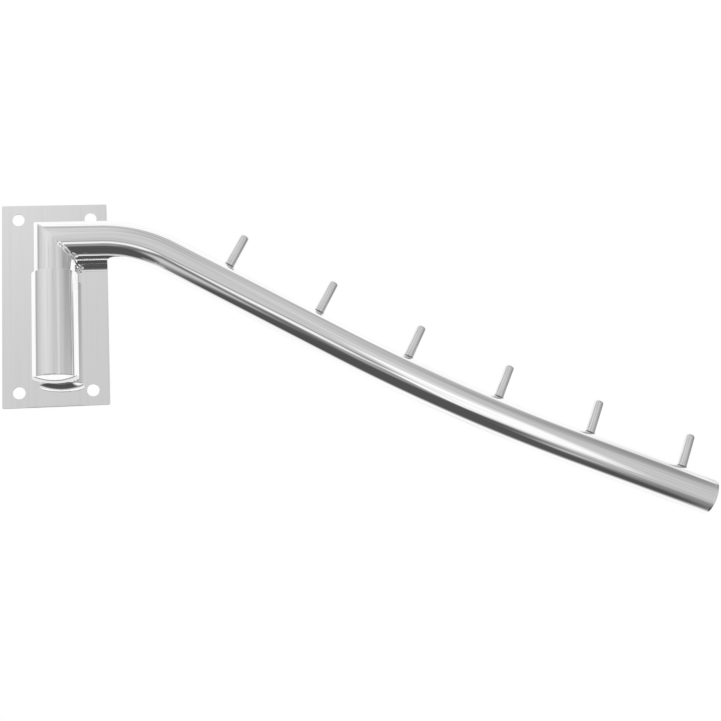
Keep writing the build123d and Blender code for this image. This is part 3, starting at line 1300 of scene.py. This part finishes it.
    def floor(self) -> None:
        """Pale matt painted floor: a disc of rings, clear at its rim so that it has no edge."""
        radius = np.linspace(0, self.floor_radius, self.floor_rings)[:, None]
        disc = turned(np.hstack([radius, np.full_like(radius, -self.floor_depth)]), self.floor_around)
        floor = add_object("floor", make_mesh("floor", [grid_patch(disc, wrap_columns=True)]))
        material, tree, shader = new_material("matt floor paint")
        place = add_node(tree, "ShaderNodeTexCoord").outputs["Object"]
        mottle = add_node(tree, "ShaderNodeTexNoise", {
            "Vector": place, "Scale": 1 / (self.floor_mottle * MM), "Detail": 3.0})
        colour = add_node(tree, "ShaderNodeMix", {
            "Factor": mottle, "A": linear(self.floor_tones[0]), "B": linear(self.floor_tones[1])},
            data_type="RGBA")
        away = add_node(tree, "ShaderNodeVectorMath", {0: place}, operation="LENGTH")
        fade = add_node(tree, "ShaderNodeMapRange", {
            "Value": away, "From Min": self.floor_fade * MM, "From Max": self.floor_radius * MM,
            "To Min": 1.0, "To Max": 0.0}, interpolation_type="SMOOTHSTEP")
        feed(tree, shader, {"Base Color": colour, "Roughness": self.floor_roughness, "Alpha": fade})
        floor.data.materials.append(material)
        floor.visible_glossy = False
        floor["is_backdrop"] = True

    def card_light(self, rise: Array, turn: Array) -> Array:
        """How bright the view in front is by direction, and white from where the cards end.

        Args:
            rise: degrees above the horizon.
            turn: degrees to the right of straight ahead.

        Returns:
            Strength, where 1 is white.
        """
        light = np.full_like(rise, self.sweep_light)
        for card in self.cards_and_lamps:
            light = card.over(light, rise, turn)
        up, level = np.sin(np.radians(rise)), np.cos(np.radians(rise))
        side, ahead = np.sin(np.radians(turn)) * level, np.cos(np.radians(turn)) * level
        across = up**2 + side**2 + 1e-9         # never nothing, straight ahead
        reach = np.where(up > 0, self.cards_top, self.cards_bottom) * up**2 / across
        reach = reach + np.where(side > 0, self.cards_right, self.cards_left) * side**2 / across
        soft = self.card_edge + (self.card_lower_edge - self.card_edge) * np.where(up < 0, up**2 / across, 0)
        away = np.degrees(np.arccos(np.clip(ahead, -1, 1)))
        wave = np.sin(2 * np.pi * (rise + self.fold_lean * turn) / self.fold_height)
        fold = self.fold_depth * wave * ease(rise, *self.fold_rise)
        shade = (self.rim_shade[0] * side**2 + self.rim_shade[1] * np.maximum(up, 0) ** 2) / across
        shade = shade * np.exp(-(((away - reach) / self.rim_width + 1) ** 2))
        white = step(away, reach, soft)
        return light * (1 + fold) * (1 - shade) * (1 - white) + white

    def cards(self) -> None:
        """Curved cards round the front.

        A part of a ball about the object's middle: angles from straight ahead (-Y) run out as rings, and each
        point's strength follows from its direction.
        """
        middle = np.array(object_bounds()).mean(axis=0) / MM
        around = full_turn(self.card_turns)
        off = np.radians(np.linspace(0, self.card_angle, self.card_rings))[:, None]
        ray = gathered(np.sin(off) * np.cos(around), -np.cos(off), np.sin(off) * np.sin(around))

        def strength(points: Array) -> Array:
            """Strength by direction from the object's middle."""
            across, ahead, up = ((points - middle) / self.card_distance).T
            return self.card_light(*np.degrees([np.arcsin(np.clip(up, -1, 1)), np.arctan2(across, -ahead)]))

        ball = grid_patch(middle + ray * self.card_distance, wrap_columns=True)
        self.add_card("grey cards", [ball], strength)

    def small_cards(self) -> None:
        """Small cards near the bracket.

        Dark slats behind the plate's front paint the dark reflection that the arm's underside shows there,
        while
        level views pass between them: corner (i, j) of a slat lies at its left or right end and at its front
        or back edge, which is higher. A dark card, upright and low in front, shows in the plug under the
        sleeve where the plate mirrors it. A white band with a dark hem, a painted reflection, hangs from the
        plug's front rim, by the root of the sine of the angle round it, and shows in the plate too. A card in
        bands of painted light just behind the plate's front stands for the plate's foot where the plug
        mirrors it, as the plate is left out of mirrors.
        sine of the angle round it, and shows in the plate too. The plate's foot shows in the plug itself.
        """
        low, high = node_box("wall_plate")
        front = low[1] + self.foot_depth
        across, back = np.meshgrid([self.slats_from[0], self.slats_to[0]], [0.0, 1.0], indexing="ij")
        depth, rise = self.slat_size
        slats = [grid_patch(gathered(across, front + back * depth, height + back * rise))
                 for height in np.arange(self.slats_from[1], self.slats_to[1], self.slat_pitch)]
        cap_low, cap_high = node_box("sleeve_bottom_cap")
        middle, radius = (cap_low + cap_high) / 2 * (1, 1, 0), (cap_high - cap_low)[0] / 2
        turn = np.linspace(-np.pi, 0, self.band_lines)[:, None]
        height = cap_low[2] + self.band_top - np.sqrt(np.abs(np.sin(turn))) * np.array(self.band_drops)
        band = middle + gathered(radius * np.cos(turn), radius * np.sin(turn), height)

        def dark(spots: Array) -> Array:
            """Strength of the dark cards."""
            return np.full(len(spots), self.dark_light)

        def fading(spots: Array) -> Array:
            """Cover of the low card: the product of eased steps at its four edges."""
            inside = np.hstack([spots[:, [0, 2]] - self.low_from, self.low_to - spots[:, [0, 2]]])
            return ease(inside, 0, self.low_soft).prod(axis=1)

        def banded(spots: Array) -> Array:
            """Painted light of the card that stands for the plate's foot in mirrors, by height."""
            return np.interp(spots[:, 2], self.foot_heights, self.foot_lights)

        # painted reflections: the slats in the arm's underside, and the white band's dark hem
        self.add_card("dark cards", [*slats, grid_patch(band[:, 1:])], dark)
        lines = np.linspace(self.low_from, self.low_to, self.low_lines).T
        self.add_card("low card", [self.upright(*lines, -self.low_distance)], dark, fading)
        # painted reflection: the white band shows as a light crescent below the plug in the plate's mirror
        self.add_card("white band", [grid_patch(band[:, :2])], full_cover)
        # painted reflection: a glowing card in bands of light and shade stands for the plate's foot in the
        # plug
        self.add_card("plate foot", [self.upright((low[0], high[0]), self.foot_heights, front)], banded)

    @staticmethod
    def upright(across: Array | tuple[float, ...], up: Array | tuple[float, ...], depth: float) -> Patch:
        """Flat upright grid of some places across and up at one depth."""
        across, up = np.meshgrid(across, up, indexing="ij")
        return grid_patch(gathered(across, depth, up))

    @staticmethod
    def add_card(name: str, patches: list[Patch], strength: Callable[[Array], Array],
                 cover: Callable[[Array], Array] = full_cover) -> None:
        """Adds a glowing card that only mirrors see.

        Args:
            name: its name.
            patches: its surface.
            strength: gives how bright it is at points in millimetres, where 1 is white.
            cover: gives how much it hides of what is behind it there, where 1 is all.
        """
        mesh = make_mesh(name, patches)
        spots = np.empty(len(mesh.vertices) * 3, np.float32)
        mesh.vertices.foreach_get("co", spots)
        material = bpy.data.materials.new(name + " paper")
        material.use_nodes = True
        tree = material.node_tree
        tree.nodes.clear()
        levels = []
        for key, worked_out in (("card_light", strength), ("card_cover", cover)):
            values = worked_out(spots.reshape(-1, 3) / MM).astype(np.float32)
            mesh.attributes.new(key, "FLOAT", "POINT").data.foreach_set("value", values)
            levels.append(add_node(tree, "ShaderNodeAttribute", attribute_name=key).outputs["Fac"])
        glow = add_node(tree, "ShaderNodeEmission", {"Strength": levels[0]})
        clear = add_node(tree, "ShaderNodeBsdfTransparent")
        mixed = add_node(tree, "ShaderNodeMixShader", {0: levels[1], 1: clear, 2: glow})
        add_node(tree, "ShaderNodeOutputMaterial", {"Surface": mixed})
        material.cycles.emission_sampling = "NONE"
        mesh.materials.append(material)
        card = add_object(name.replace(" ", "_"), mesh)
        for ray_kind in ("camera", "diffuse", "transmission", "volume_scatter", "shadow"):
            setattr(card, "visible_" + ray_kind, False)
        card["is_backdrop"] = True


def main() -> None:
    """Builds the object's classes and the studio in order."""
    logging.basicConfig(level=logging.INFO)
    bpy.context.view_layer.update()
    WallBracket(frame["record"]).build()
    Swivel().build()
    SwingArm(frame["nodes"]).build()
    Studio().build()


if __name__ == "__main__":
    main()
